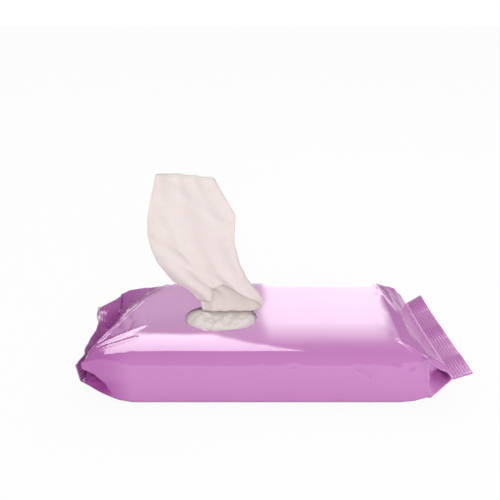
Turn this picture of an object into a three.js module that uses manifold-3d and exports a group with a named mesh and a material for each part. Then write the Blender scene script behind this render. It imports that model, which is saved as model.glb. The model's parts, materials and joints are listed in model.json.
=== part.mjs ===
// A packet of wet wipes. A film wrap with folded gussets, crimped end seals and a back seam
// holds a stack of interfolded wipes. An oval hole is cut in its top, and the first wipe is
// drawn up through it. Millimetres, +Z up, length along X, front towards -Y. The origin lies
// on the table, under the middle of the packet.
import * as THREE from "three";
import Module from "manifold-3d";

const wasm = await Module();
wasm.setup();

// Driving sizes of the packet
const packWidth = 98;
const packHeight = 40;
const filmThickness = 0.4;
const shoulderRadius = 9;
const footRadius = 3;
const creaseRadius = 0.8;
const clearance = 0.3;

// Driving sizes of the wipes
const wipeLength = 168;
const wipeThickness = 0.6;
const wipeCount = 19;
const hemSetback = 3;

// End folds and seals
const endGap = 1;
const endReach = 27;
const cavityShare = 0.85;
const slopedFilm = 1.7;
const sealWidth = 13.5;
const sealThickness = 1.1;
const sealRibs = 6;
const ribDepth = 0.35;
const sealOverlap = 1.2;
const sealTurn = 3;
const layersThickness = 1.6;

// Back seam along the underside
const seamWidth = 12;
const seamThickness = 0.8;
const seamChannelSlope = 1.5;

// Dispensing hole in the top film
const holeLength = 48;
const holeWidth = 34;
const holeCentreX = -30;
const holeCentreY = -7.5;
const holeSquareness = 2.3;

// First wipe, drawn up through the hole
const drawnHeight = 94;
const neckLeft = -43;
const neckRight = -11;
const neckY = 1.5;

// Second wipe, lifted a little under the hole
const liftHeight = 2.4;
const liftLength = 11;
const liftWidth = 9;
const liftCentreX = -20;
const liftCentreY = -11.5;

const halfWidth = packWidth / 2;
const bodyEnd = wipeLength / 2 + endGap;

const lerp = (a, b, t) => a + (b - a) * t;
const clamp01 = (t) => Math.min(1, Math.max(0, t));
const smooth = (t) => clamp01(t) ** 2 * (3 - 2 * clamp01(t));

// Value of a rail at s. A rail is a short list of [s, value] stations, joined by straight runs.
function along(rail, s) {
  const next = rail.findIndex(([at]) => at >= s);
  if (next === 0) return rail[0][1];
  if (next < 0) return rail[rail.length - 1][1];
  const [[s0, a], [s1, b]] = [rail[next - 1], rail[next]];
  return lerp(a, b, (s - s0) / (s1 - s0));
}

// How each end folds down to its seal. s runs from 0, where the stack ends, to 1, at the seal.
// ridge and crown are shares of the way up from the seal's root to the top of the packet, and
// foot is the share of the way up from the table to the root. valley is how far the side tucks
// in, ear how far down the side its upper fold reaches, and tuck where the valley lies.
const rightEnd = {
  direction: 1,
  root: { back: 21, middle: 19, front: 19 },
  tilt: { back: 32, front: 22 },
  skew: 6,
  crown: [[0, 1], [0.25, 0.92], [0.6, 0.52], [1, 0]],
  front: {
    ridge: [[0, 1], [0.5, 0.87], [0.85, 0.45], [1, 0]],
    foot: [[0, 0], [0.3, 0.08], [0.65, 0.32], [1, 1]],
    valley: [[0.5, 0], [1, 15]],
    ear: [[0, 0.25], [0.5, 0.1], [1, 0.25]],
    tuck: [[0, 0.5], [0.6, 0.45], [1, 0.5]],
  },
  back: {
    ridge: [[0, 1], [0.6, 0.7], [0.85, 0.35], [1, 0]],
    foot: [[0, 0], [0.3, 0.08], [0.65, 0.35], [1, 1]],
    valley: [[0.45, 0], [1, 14]],
    ear: [[0, 0.25], [0.5, 0.1], [1, 0.25]],
    tuck: [[0, 0.5], [1, 0.5]],
  },
};

const leftEnd = {
  direction: -1,
  root: { back: 10, middle: 12, front: 17 },
  tilt: { back: 38, front: 82 },
  skew: 5,
  crown: [[0, 1], [0.2, 0.9], [0.55, 0.5], [1, 0]],
  front: {
    ridge: [[0, 1], [0.5, 0.86], [1, 0.6]],
    foot: [[0, 0], [0.25, 0.12], [0.6, 0.45], [1, 1]],
    valley: [[0.42, 0], [1, 13]],
    ear: [[0, 0.75], [0.42, 0.8], [0.55, 0.6], [1, 0.3]],
    tuck: [[0, 0.85], [0.42, 0.9], [1, 0.75]],
  },
  back: {
    ridge: [[0, 1], [0.3, 0.9], [0.75, 0.5], [1, 0.05]],
    foot: [[0, 0], [0.3, 0.1], [0.65, 0.4], [1, 1]],
    valley: [[0.45, 0], [1, 13]],
    ear: [[0, 0.25], [0.5, 0.1], [1, 0.25]],
    tuck: [[0, 0.5], [1, 0.5]],
  },
};

const edgePower = 3;

// Height of a seal's root line. v runs from -1 at the front to 1 at the back.
function rootHeight(end, v) {
  const { back, middle, front } = end.root;
  return lerp(middle, v > 0 ? back : front, v * v);
}

const endAt = (x) => (x < 0 ? leftEnd : rightEnd);
const shareAt = (x) => clamp01((Math.abs(x) - bodyEnd) / endReach);

// The four fold corners of one side of the wrap at x, from the shoulder down to the foot.
function sideCorners(x, side) {
  const end = endAt(x);
  const s = shareAt(x);
  const folds = side < 0 ? end.front : end.back;
  const root = rootHeight(end, side);
  const upperRoot = root + layersThickness / 2;
  const lowerRoot = root - layersThickness / 2;
  const top = lerp(upperRoot, packHeight, along(folds.ridge, s));
  const foot = lerp(0, lowerRoot, along(folds.foot, s));
  const y = side * halfWidth;
  const valley = along(folds.valley, s);
  return {
    shoulder: [y, top],
    ear: [y, lerp(top, foot, along(folds.ear, s))],
    valley: [y - side * valley, lerp(top, foot, along(folds.tuck, s))],
    foot: [y, foot],
  };
}

// A corner of a section, rounded by a curve that leaves both of its edges at the same distance.
function roundCorner(before, corner, after, radius, segments) {
  const [p, c, n] = [before, corner, after].map(([y, z]) => new THREE.Vector2(y, z));
  const cut = Math.min(radius, 0.45 * p.distanceTo(c), 0.45 * n.distanceTo(c));
  const start = c.clone().add(p.clone().sub(c).setLength(cut));
  const finish = c.clone().add(n.clone().sub(c).setLength(cut));
  const curve = new THREE.QuadraticBezierCurve(start, c, finish);
  return curve.getPoints(segments).map((q) => [q.x, q.y]);
}

// Height of the top film between its shoulders.
function topHeight(x, v, shoulderHeight) {
  const end = endAt(x);
  const root = rootHeight(end, 0) + layersThickness / 2;
  const crown = lerp(root, packHeight, along(end.crown, shareAt(x)));
  return lerp(crown, shoulderHeight, Math.abs(v) ** edgePower);
}

// Height of the bottom film between its feet, above the seam where it covers the seam.
function bottomHeight(x, v, footHeight) {
  const end = endAt(x);
  const root = rootHeight(end, 0) - layersThickness / 2;
  const lift = lerp(end.front.foot[0][1], root, along(end.front.foot, shareAt(x)));
  const base = lerp(lift, footHeight, Math.abs(v) ** edgePower);
  const beyondSeam = Math.abs(v * halfWidth) - seamWidth / 2 - clearance;
  return base + (seamThickness + clearance) * (1 - clamp01(beyondSeam / seamChannelSlope));
}

const topShares = [-0.8, -0.6, -0.4, -0.2, 0, 0.2, 0.4, 0.6, 0.8];
const seamEdge = seamWidth / 2 + clearance;
const bottomYs = [-halfWidth * 0.6, -seamEdge - seamChannelSlope, -seamEdge, seamEdge,
  seamEdge + seamChannelSlope, halfWidth * 0.6];

// Outline of the wrap at x, as [y, z] points: down the front, along the bottom, up the back
// and over the top.
function section(x) {
  const s = shareAt(x);
  const shoulderRound = lerp(shoulderRadius, creaseRadius, Math.sqrt(s));
  const footRound = lerp(footRadius, creaseRadius, Math.sqrt(s));
  const front = sideCorners(x, -1);
  const back = sideCorners(x, 1);
  const shoulderAt = (v) => (v < 0 ? front : back).shoulder[1];
  const footAt = (v) => (v < 0 ? front : back).foot[1];
  const top = topShares.map((v) => [v * halfWidth, topHeight(x, v, shoulderAt(v))]);
  const bottom = bottomYs.map((y) => {
    const v = y / halfWidth;
    return [y, bottomHeight(x, v, footAt(v))];
  });
  const side = (corners, topEnd, bottomEnd) => [
    ...roundCorner(topEnd, corners.shoulder, corners.ear, shoulderRound, 4),
    ...roundCorner(corners.shoulder, corners.ear, corners.valley, creaseRadius, 1),
    ...roundCorner(corners.ear, corners.valley, corners.foot, creaseRadius, 1),
    ...roundCorner(corners.valley, corners.foot, bottomEnd, footRound, 3),
  ];
  return [
    ...side(front, top[0], bottom[0]),
    ...bottom,
    ...side(back, top[top.length - 1], bottom[bottom.length - 1]).reverse(),
    ...top.reverse(),
  ];
}

// The same outline moved inwards by a distance, corner by corner.
function inset(points, distance) {
  const count = points.length;
  const sharpest = 0.35;
  return points.map((point, i) => {
    const here = new THREE.Vector2(...point);
    const before = here.clone().sub(new THREE.Vector2(...points[(i + count - 1) % count]));
    const after = new THREE.Vector2(...points[(i + 1) % count]).sub(here);
    const inwards = (edge) => new THREE.Vector2(-edge.y, edge.x).normalize();
    const middle = inwards(before).add(inwards(after));
    const half = Math.max(middle.length() / 2, sharpest);
    const moved = here.add(middle.setLength(distance / half));
    return [moved.x, moved.y];
  });
}

// Moves a point of the wrap lengthwise, because the seals don't lie square to the packet.
function skewed(x, y, z) {
  const end = endAt(x);
  const lean = (-y / packWidth) * end.skew * smooth(shareAt(x));
  return new THREE.Vector3(x + end.direction * lean, y, z);
}

// A closed solid from its points and triangles, turned to face outwards.
function solid(points, triangles) {
  const make = (faces) => new wasm.Manifold(new wasm.Mesh({
    numProp: 3,
    vertProperties: new Float32Array(points.flatMap((p) => [p.x, p.y, p.z])),
    triVerts: new Uint32Array(faces.flat()),
  }));
  const made = make(triangles);
  return made.volume() > 0 ? made : make(triangles.map(([a, b, c]) => [a, c, b]));
}

// A solid through a row of outlines that all have the same number of points.
function loft(stations, outlineAt) {
  const outlines = stations.map(outlineAt);
  const size = outlines[0].length;
  const points = outlines.flatMap((ring, i) => ring.map(([y, z]) => skewed(stations[i], y, z)));
  const triangles = [];
  for (let i = 0; i + 1 < outlines.length; i++) {
    for (let j = 0; j < size; j++) {
      const [a, b] = [i * size + j, i * size + ((j + 1) % size)];
      triangles.push([a, b, b + size], [a, b + size, a + size]);
    }
  }
  const cap = (ring) => {
    const first = ring * size;
    const middle = new THREE.Vector3();
    for (let j = 0; j < size; j++) middle.addScaledVector(points[first + j], 1 / size);
    points.push(middle);
    for (let j = 0; j < size; j++) {
      const [here, next] = [first + j, first + ((j + 1) % size)];
      triangles.push(ring ? [here, next, points.length - 1] : [next, here, points.length - 1]);
    }
  };
  cap(0);
  cap(outlines.length - 1);
  return solid(points, triangles);
}

// A solid of even thickness about a grid of points on its middle surface.
function sheetSolid(grid, thickness) {
  const [rows, columns] = [grid.length, grid[0].length];
  const normalAt = (i, j) => {
    const down = grid[Math.min(i + 1, rows - 1)][j].clone().sub(grid[Math.max(i - 1, 0)][j]);
    const across = grid[i][Math.min(j + 1, columns - 1)].clone()
      .sub(grid[i][Math.max(j - 1, 0)]);
    return down.cross(across).setLength(thickness / 2);
  };
  const upper = grid.map((row, i) => row.map((p, j) => p.clone().add(normalAt(i, j)))).flat();
  const lower = grid.map((row, i) => row.map((p, j) => p.clone().sub(normalAt(i, j)))).flat();
  const under = rows * columns;
  const triangles = [];
  const quad = (a, b, c, d) => triangles.push([a, b, c], [a, c, d]);
  for (let i = 0; i + 1 < rows; i++) {
    for (let j = 0; j + 1 < columns; j++) {
      const a = i * columns + j;
      quad(a, a + 1, a + columns + 1, a + columns);
      quad(under + a, under + a + columns, under + a + columns + 1, under + a + 1);
    }
  }
  const rim = (a, b) => quad(a, under + a, under + b, b);
  for (let j = 0; j + 1 < columns; j++) {
    rim(j, j + 1);
    rim((rows - 1) * columns + j + 1, (rows - 1) * columns + j);
  }
  for (let i = 0; i + 1 < rows; i++) {
    rim((i + 1) * columns, i * columns);
    rim(i * columns + columns - 1, (i + 1) * columns + columns - 1);
  }
  return solid([...upper, ...lower], triangles);
}

// A crimped seal: a plate that leaves the wrap at its root, turns up towards its free edge and
// has ribs along its length.
function sealSolid(end) {
  const rows = 10;
  const columns = sealRibs * 2 + 1;
  const step = (sealWidth + sealOverlap) / columns;
  const grid = Array.from({ length: rows + 1 }, (_, i) => {
    const v = lerp(-1, 1, i / rows);
    const tilt = THREE.MathUtils.degToRad(lerp(end.tilt.front, end.tilt.back, (v + 1) / 2));
    let x = bodyEnd + endReach - sealOverlap;
    let z = rootHeight(end, v);
    return Array.from({ length: columns + 1 }, (_, j) => {
      const angle = tilt * smooth((j * step - sealOverlap) / sealTurn);
      if (j > 0) {
        x += step * Math.cos(angle);
        z += step * Math.sin(angle);
      }
      const ripple = j < 2 ? 0 : (j % 2 ? 1 : -1) * ribDepth;
      const ribX = x - ripple * Math.sin(angle);
      return skewed(end.direction * ribX, v * halfWidth, z + ripple * Math.cos(angle));
    });
  });
  return sheetSolid(grid, sealThickness);
}

// The back seam: both edges of the film, sealed to each other and laid flat against the bottom.
// It hangs on its rear edge along the body, and is pressed into the film where the ends fold.
function seamSolid(stations) {
  const strip = (near, gap, thickness) => stations.map((x) => {
    const pressed = smooth(shareAt(x) * 4);
    const z = bottomHeight(x, 0, 0) - lerp(gap, -clearance, pressed) - thickness / 2;
    return [near, seamWidth / 2].map((y) => skewed(x, y, z));
  });
  const flap = sheetSolid(strip(-seamWidth / 2, clearance, seamThickness), seamThickness);
  const root = sheetSolid(strip(seamWidth / 2 - 3 * clearance, -clearance, 3 * clearance),
    3 * clearance);
  return flap.add(root);
}

// Half length and half width of the hole, as a rounded oval outline.
function holeOutline(segments) {
  const power = 2 / holeSquareness;
  const reach = (t, size) => Math.sign(t) * Math.abs(t) ** power * (size / 2);
  return Array.from({ length: segments }, (_, i) => {
    const turn = (i / segments) * 2 * Math.PI;
    const x = holeCentreX + reach(Math.cos(turn), holeLength);
    return new THREE.Vector2(x, holeCentreY + reach(Math.sin(turn), holeWidth));
  });
}

function holeCutter() {
  const shape = new THREE.Shape(holeOutline(40));
  const depth = shoulderRadius;
  const geometry = new THREE.ExtrudeGeometry(shape, { depth, bevelEnabled: false });
  geometry.translate(0, 0, packHeight - depth / 2);
  return fromGeometry(geometry);
}

// A manifold-3d solid from a three.js geometry, with the vertices that share a place merged.
function fromGeometry(geometry) {
  const position = geometry.getAttribute("position");
  const places = new Map();
  const points = [];
  const indices = Array.from({ length: position.count }, (_, i) => {
    const p = new THREE.Vector3().fromBufferAttribute(position, i);
    const key = p.toArray().map((value) => value.toFixed(4)).join();
    if (!places.has(key)) {
      places.set(key, points.length);
      points.push(p);
    }
    return places.get(key);
  });
  const triangles = [];
  for (let i = 0; i < indices.length; i += 3) triangles.push(indices.slice(i, i + 3));
  return solid(points, triangles);
}

// The body that holds nearly all of a joined solid, without the specks that folds lying close
// together can leave beside it.
function wholeBody(joined) {
  return joined.decompose().sort((a, b) => b.volume() - a.volume())[0];
}

// The wrap: one sheet of film, with its seam, its two seals and its hole.
function wrapSolid() {
  const endShares = [0, 0.12, 0.25, 0.4, 0.55, 0.7, 0.85, 1];
  const cavityShares = endShares.filter((s) => s <= cavityShare);
  const stations = (shares) => [
    ...shares.toReversed().map((s) => -bodyEnd - s * endReach),
    ...shares.map((s) => bodyEnd + s * endReach),
  ];
  const outer = loft(stations(endShares), section);
  const cavity = loft(stations(cavityShares), (x) => {
    const depth = filmThickness * lerp(1, slopedFilm, smooth(shareAt(x) * 4));
    return inset(section(x), depth);
  });
  return wholeBody(outer.subtract(cavity).subtract(holeCutter())
    .add(seamSolid(stations(endShares)))
    .add(sealSolid(leftEnd))
    .add(sealSolid(rightEnd)));
}

// Heights of the layers of the stack, from the top film down to the film over the seam.
const layerCount = wipeCount * 2;
const topLayer = packHeight - filmThickness - clearance - wipeThickness / 2;
const bottomLayer = seamThickness + clearance + filmThickness + clearance + wipeThickness / 2;
const layerPitch = (topLayer - bottomLayer) / (layerCount - 1);
const layerHeight = (layer) => topLayer - layer * layerPitch;

// Which layers the two halves of a wipe lie in: each wipe's fold holds the half of the next.
const upperLayer = (wipe) => (wipe === 1 ? 0 : 2 * wipe - 3);
const lowerLayer = (wipe) => (wipe === wipeCount ? 2 * wipe - 1 : 2 * wipe);

// How far a wipe may reach towards the front or back inside the wrap's rounded shoulder.
function roomAt(height) {
  const below = packHeight - filmThickness - clearance - height;
  const t = Math.sqrt(clamp01(below / shoulderRadius));
  return halfWidth - filmThickness - clearance * 2 - shoulderRadius * (1 - t) ** 2;
}

// Folds of odd wipes lie at the back and of even ones at the front.
const foldSide = (wipe) => (wipe % 2 ? 1 : -1);

// How far a wipe's fold reaches sideways, and the radius of its fold.
const foldReach = (wipe) => {
  const top = layerHeight(upperLayer(wipe)) + wipeThickness / 2;
  return roomAt(top) - wipeThickness / 2;
};
const foldRadius = (wipe) => (lowerLayer(wipe) - upperLayer(wipe)) * layerPitch / 2;

// Profile of a folded wipe as [y, z] points, from its lower hem round the fold to its upper hem.
// The hems stop short of the fold of the wipe above.
function foldedProfile(wipe) {
  const side = foldSide(wipe);
  const above = Math.max(1, wipe - 1);
  const [upper, lower] = [layerHeight(upperLayer(wipe)), layerHeight(lowerLayer(wipe))];
  const radius = foldRadius(wipe);
  const hem = -side * (foldReach(above) - foldRadius(above) - hemSetback);
  const turns = 5;
  const bend = Array.from({ length: turns + 1 }, (_, i) => {
    const angle = lerp(-Math.PI / 2, Math.PI / 2, i / turns);
    const y = side * (foldReach(wipe) - radius + radius * Math.cos(angle));
    return [y, (upper + lower) / 2 + radius * Math.sin(angle)];
  });
  return [[hem, lower], ...bend, [hem, upper]];
}

function foldedWipe(wipe) {
  const ends = [-wipeLength / 2, wipeLength / 2];
  const grid = foldedProfile(wipe).map(([y, z]) => ends.map((x) => new THREE.Vector3(x, y, z)));
  return sheetSolid(grid, wipeThickness);
}

// The second wipe: folded like the rest, with its upper half lifted and rumpled under the hole.
function liftedWipe() {
  const second = 2;
  const profile = foldedProfile(second);
  const fold = profile.slice(0, -1);
  const [[foldY, upper], [hemY]] = [profile[profile.length - 2], profile[profile.length - 1]];
  const steps = 20;
  const run = Array.from({ length: steps }, (_, i) => [lerp(foldY, hemY, (i + 1) / steps), upper]);
  const xs = [-wipeLength / 2];
  const columns = 12;
  for (let i = 0; i <= columns; i++) {
    xs.push(lerp(liftCentreX - liftLength, liftCentreX + liftLength, i / columns));
  }
  xs.push(wipeLength / 2);
  const grid = [...fold, ...run].map(([y, z]) => xs.map((x) => {
    const u = (x - liftCentreX) / liftLength;
    const v = (y - liftCentreY) / liftWidth;
    const inside = z > upper - wipeThickness ? clamp01(1 - u * u) * clamp01(1 - v * v) : 0;
    const rumple = 0.6 + 0.25 * Math.sin(5 * u + 2 * v) + 0.15 * Math.cos(4 * v - 3 * u);
    return new THREE.Vector3(x, y, z + liftHeight * rumple * smooth(inside * 2));
  }));
  return sheetSolid(grid, wipeThickness);
}

// Outline of the drawn wipe as it stands over the packet: at each share of its height, where
// its left and right edges are.
const leftEdge = [[0, neckLeft], [0.07, -44], [0.15, -50], [0.24, -61], [0.37, -71],
  [0.55, -77.5], [0.7, -77], [0.85, -74], [1, -70]];
const rightEdge = [[0, neckRight], [0.02, -4], [0.08, -1], [0.16, -5], [0.28, -12.5],
  [0.38, -17], [0.54, -21], [0.74, -20], [0.89, -28], [1, -34]];
const archEdge = [[0, 0.04], [0.25, 0.07], [0.5, 0.19], [0.75, 0.17], [1, 0.01]];
const pinchShare = 0.72;
const panelGap = 7;

function drawnWipe() {
  const columns = 22;
  const first = 1;
  const profile = foldedProfile(first);
  const upper = profile[profile.length - 1][1];
  const shareOf = (j) => j / columns;
  const fold = profile.slice(0, -1);
  const foldY = fold[fold.length - 1][0];
  const grid = fold.map(([y, z]) => Array.from({ length: columns + 1 }, (_, j) =>
    new THREE.Vector3(lerp(-wipeLength / 2, wipeLength / 2, shareOf(j)), y, z)));
  const gathers = (u) => Math.sin(u * Math.PI * 7) * 0.6 + Math.sin(u * Math.PI * 3 + 1) * 0.4;
  const fan = 5;
  for (let i = 1; i <= fan; i++) {
    const t = i / fan;
    grid.push(Array.from({ length: columns + 1 }, (_, j) => {
      const u = shareOf(j);
      const x = lerp(lerp(-wipeLength / 2, wipeLength / 2, u), lerp(neckLeft, neckRight, u),
        smooth(t));
      return new THREE.Vector3(x, lerp(foldY, neckY + 2, t), upper);
    }));
  }
  const baseZ = packHeight;
  const rise = 16;
  const panelPoint = (u, share, side) => {
    const pinch = 1 - Math.exp(-(((share - pinchShare) / 0.3) ** 2));
    const gap = side * (panelGap / 2) * lerp(0.25, 1, pinch) * smooth(share * 8);
    const x = lerp(along(leftEdge, share), along(rightEdge, share), u);
    const wave = gathers(u + share * 0.25) * lerp(1.2, 2.6, smooth(share * 3)) * pinch;
    const edge = Math.sqrt(clamp01(4 * u * (1 - u)));
    const z = baseZ + share * drawnHeight + (u - 0.5) * -4 * smooth(share);
    return new THREE.Vector3(x, neckY + gap * edge + wave + share * 3, z);
  };
  for (let i = 0; i <= rise; i++) {
    const share = i / rise;
    grid.push(Array.from({ length: columns + 1 }, (_, j) => panelPoint(shareOf(j), share, 1)));
  }
  const fall = 13;
  for (let i = 0; i <= fall; i++) {
    grid.push(Array.from({ length: columns + 1 }, (_, j) => {
      const u = shareOf(j);
      const share = lerp(1, along(archEdge, u) + 0.03, i / fall);
      const p = panelPoint(u, share, -1);
      p.y -= 1.4;
      return p;
    }));
  }
  return sheetSolid(grid, wipeThickness);
}

const film = new THREE.MeshStandardMaterial({ color: 0xc070bd, roughness: 0.18, metalness: 0 });
const cloth = new THREE.MeshStandardMaterial({ color: 0xf4efe9, roughness: 0.95, metalness: 0 });

// A named mesh from a solid, with its own copy of the material.
function meshOf(name, body, material) {
  const { numProp, vertProperties, triVerts } = body.getMesh();
  const count = vertProperties.length / numProp;
  const position = new Float32Array(count * 3);
  for (let i = 0; i < count; i++) {
    position.set(vertProperties.subarray(i * numProp, i * numProp + 3), i * 3);
  }
  const geometry = new THREE.BufferGeometry();
  geometry.setAttribute("position", new THREE.BufferAttribute(position, 3));
  geometry.setIndex(new THREE.BufferAttribute(triVerts, 1));
  geometry.computeVertexNormals();
  const mesh = new THREE.Mesh(geometry, material.clone());
  mesh.name = name;
  return mesh;
}

const packet = new THREE.Group();
packet.add(meshOf("film_wrap", wrapSolid(), film));
packet.add(meshOf("drawn_wipe", drawnWipe(), cloth));
packet.add(meshOf("lifted_wipe", liftedWipe(), cloth));
for (let wipe = 3; wipe <= wipeCount; wipe++) {
  const number = String(wipe).padStart(2, "0");
  packet.add(meshOf("folded_wipe_" + number, foldedWipe(wipe), cloth));
}

export default packet;
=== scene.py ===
# %% [markdown]
# # A packet of wet wipes
# A glossy film wrap with folded gussets and crimped end seals holds a stack of interfolded
# wipes. The first wipe is drawn up through an oval hole. Sizes in this script are in
# millimetres until a mesh is made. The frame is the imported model's: length along X, front
# towards -Y, +Z up, origin on the table.

import json
import math

import bpy
import numpy as np
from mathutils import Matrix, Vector, noise

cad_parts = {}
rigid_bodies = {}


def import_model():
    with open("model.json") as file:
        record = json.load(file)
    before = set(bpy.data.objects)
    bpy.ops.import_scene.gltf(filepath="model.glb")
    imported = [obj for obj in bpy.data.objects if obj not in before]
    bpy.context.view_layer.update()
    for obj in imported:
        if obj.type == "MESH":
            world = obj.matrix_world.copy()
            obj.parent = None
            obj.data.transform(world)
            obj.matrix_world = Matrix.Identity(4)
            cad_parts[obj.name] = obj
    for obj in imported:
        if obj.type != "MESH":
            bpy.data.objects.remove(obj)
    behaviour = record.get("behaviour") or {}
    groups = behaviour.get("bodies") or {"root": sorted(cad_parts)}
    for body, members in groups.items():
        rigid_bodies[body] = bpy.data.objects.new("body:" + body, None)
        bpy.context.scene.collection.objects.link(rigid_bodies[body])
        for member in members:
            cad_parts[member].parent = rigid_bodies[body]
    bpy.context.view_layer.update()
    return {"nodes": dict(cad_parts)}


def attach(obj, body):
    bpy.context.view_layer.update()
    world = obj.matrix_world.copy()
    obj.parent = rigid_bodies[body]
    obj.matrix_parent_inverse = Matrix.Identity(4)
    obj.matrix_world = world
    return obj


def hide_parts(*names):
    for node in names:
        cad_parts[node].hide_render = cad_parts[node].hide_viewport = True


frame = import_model()
print("nodes in the frame:", len(frame["nodes"]))

# %% [markdown]
# ## Sizes
# These are the solid model's own sizes: the body, the film and its clearance, the seals, the
# bottom seam, the hole and the wipes. The surfaces below follow from them, so that each one
# stands where the solid that it replaces stands.

# %% Sizes of the packet
WIDTH, HEIGHT = 98.0, 40.0
HALF = WIDTH / 2
BODY_END, END_REACH = 85.0, 27.0
SHOULDER_RADIUS = 9.0
FILM_THICKNESS, CLEARANCE = 0.4, 0.3
SEAL_WIDTH, SEAL_OVERLAP, SEAL_TURN = 13.5, 1.2, 3.0
HALF_LAYERS = 0.8
SEAM_WIDTH, SEAM_RISE, SEAM_SLOPE = 12.0, 1.1, 1.5
WIPE_LENGTH, WIPE_COUNT, HEM_SETBACK = 168.0, 19, 3.0
HOLE = dict(x=-30.0, y=-7.5, length=48.0, width=34.0, power=2.3)
print("body: %g x %g x %g mm, wipes: %d" % (2 * BODY_END, WIDTH, HEIGHT, WIPE_COUNT))

# %% [markdown]
# ## Folds of the two ends
# Beyond the stack the tube of film is pressed flat over the end reach. The shoulder sinks, the
# foot rises, and the side is tucked in between them as a gusset. Each of these is written as a
# rail: a few stations from 0, at the end of the body, to 1, at the seal, each with a value.
# A formula would fold all four corners alike, and on a real packet each one creases in its own
# way, so every corner has its own rails.
#
# `crown` and `ridge` are shares of the height that are left at the middle and at the shoulder.
# `foot` is the share that the foot has risen. `valley` is the depth of the tuck. `ear` and
# `tuck` say how far down the side the film turns inwards and where the valley lies. Of each
# end, `root` gives the seal's height at the front, middle and back, `tilt` the degrees that it
# turns up at the front and back, `skew` how much further out its front lies than its back, and
# `corner` how far its rear corner stands up.

# %% Rails of the folds
RIGHT = dict(
    direction=1, root=(19, 19, 21), tilt=(22, 32), skew=6, corner=0,
    crown=[(0, 1), (0.25, 0.92), (0.6, 0.52), (1, 0)],
    front=dict(ridge=[(0, 1), (0.5, 0.87), (0.85, 0.45), (1, 0)],
               foot=[(0, 0), (0.3, 0.08), (0.65, 0.32), (1, 1)],
               valley=[(0.5, 0), (1, 15)], ear=[(0, 0.12), (0.5, 0.05), (1, 0.25)],
               tuck=[(0, 0.5), (0.6, 0.45), (1, 0.5)]),
    back=dict(ridge=[(0, 1), (0.6, 0.7), (0.85, 0.35), (1, 0)],
              foot=[(0, 0), (0.3, 0.08), (0.65, 0.35), (1, 1)],
              valley=[(0.45, 0), (1, 14)], ear=[(0, 0.12), (0.5, 0.05), (1, 0.25)],
              tuck=[(0, 0.5), (1, 0.5)]))
LEFT = dict(
    direction=-1, root=(17, 12, 10), tilt=(82, 38), skew=5, corner=18.5,
    front=dict(ridge=[(0, 1), (0.5, 0.86), (1, 0.6)],
               foot=[(0, 0), (0.25, 0.12), (0.6, 0.45), (1, 1)],
               valley=[(0.42, 0), (1, 13)],
               ear=[(0, 0.12), (0.3, 0.75), (0.42, 0.78), (0.55, 0.6), (1, 0.3)],
               tuck=[(0, 0.5), (0.3, 0.87), (0.42, 0.9), (1, 0.75)]),
    back=dict(ridge=[(0, 1), (0.3, 0.9), (0.75, 0.5), (1, 0.05)],
              foot=[(0, 0), (0.3, 0.1), (0.65, 0.4), (1, 1)],
              valley=[(0.45, 0), (1, 13)], ear=[(0, 0.12), (0.5, 0.05), (1, 0.25)],
              tuck=[(0, 0.5), (1, 0.5)]))
print("rails of a corner:", ", ".join(RIGHT["front"]))


# %% Mixing, easing and reading a rail
def mix(a, b, t):
    return a + (b - a) * t


def smooth(t):
    t = np.clip(t, 0, 1)
    return t * t * (3 - 2 * t)


def along(rail, s):
    return np.interp(s, [p[0] for p in rail], [p[1] for p in rail])


print("right front shoulder, halfway out:", along(RIGHT["front"]["ridge"], 0.5))

# %% [markdown]
# ## How the packet settles
# A full packet is softer than its solid model. The top film rounds over towards the front, and
# a little towards the back: `dome` is that drop. At the left end a long fold runs slantwise
# from the rear edge to the front corner, and the film falls away behind it: `fallen_share`
# says how much of the fall is done at a place. `settle` turns both into the share of the
# height that is left to the wipes, so that they sink with the film and keep clear of it. Past
# EVEN_FROM they sink at an even slope, because their folds can't follow the steep shoulder.

# %% Settling
FLAT_TOP, BACK_FLAT = 14.0, 36.0
SHOULDER_DROP, BACK_DROP = 13.0, 3.0
EVEN_SHARE, EVEN_SLOPE = 0.63, 0.55
EVEN_FROM = FLAT_TOP + (HALF - FLAT_TOP) * (2 * EVEN_SHARE - EVEN_SHARE ** 2)
WIPES_FALL = 0.75
LEFT_FOLD = [(-49, -107), (-45, -107), (-34, -104.5), (-16, -97.8), (16, -86.5), (44, -66.5),
             (49, -64)]
FALL_MIDDLE = [(0, 1), (0.35, 0.84), (0.7, 0.5), (0.9, 0.16), (1, 0)]
FALL_BACK = [(0, 1), (0.35, 0.92), (0.55, 0.87), (0.85, 0.74), (1, 0.61)]


def rounded(q):
    return (1 - np.sqrt(1 - np.clip(q, 0, 1))) ** 2


def dome(y):
    front = SHOULDER_DROP * rounded((-y - FLAT_TOP) / (HALF - FLAT_TOP))
    return front + BACK_DROP * rounded((y - BACK_FLAT) / (HALF - BACK_FLAT))


def fallen_share(x, y):
    fold_x = along(LEFT_FOLD, y)
    t = np.clip((fold_x - x) / (fold_x + BODY_END + END_REACH), 0, 1)
    towards_back = np.clip(y / HALF, 0, 1) ** 4
    return 1 - mix(along(FALL_MIDDLE, t), along(FALL_BACK, t), towards_back)


def settle(x, y):
    drop = dome(np.maximum(y, -EVEN_FROM)) + EVEN_SLOPE * np.maximum(-y - EVEN_FROM, 0)
    return (1 - drop / HEIGHT) * (1 - WIPES_FALL * fallen_share(x, y))


print("front edge drops %.1f mm, rear edge %.1f mm" % (dome(-HALF), dome(HALF)))

# %% [markdown]
# ## Surfaces from rows of points
# Film and cloth are sheets, so each is worked out as a grid of points, row by row, with faces
# between neighbours. A cloth simulation would fold them in its own way. Rules for the points
# put each fold where it should be, and give the same folds on every run.


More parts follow.
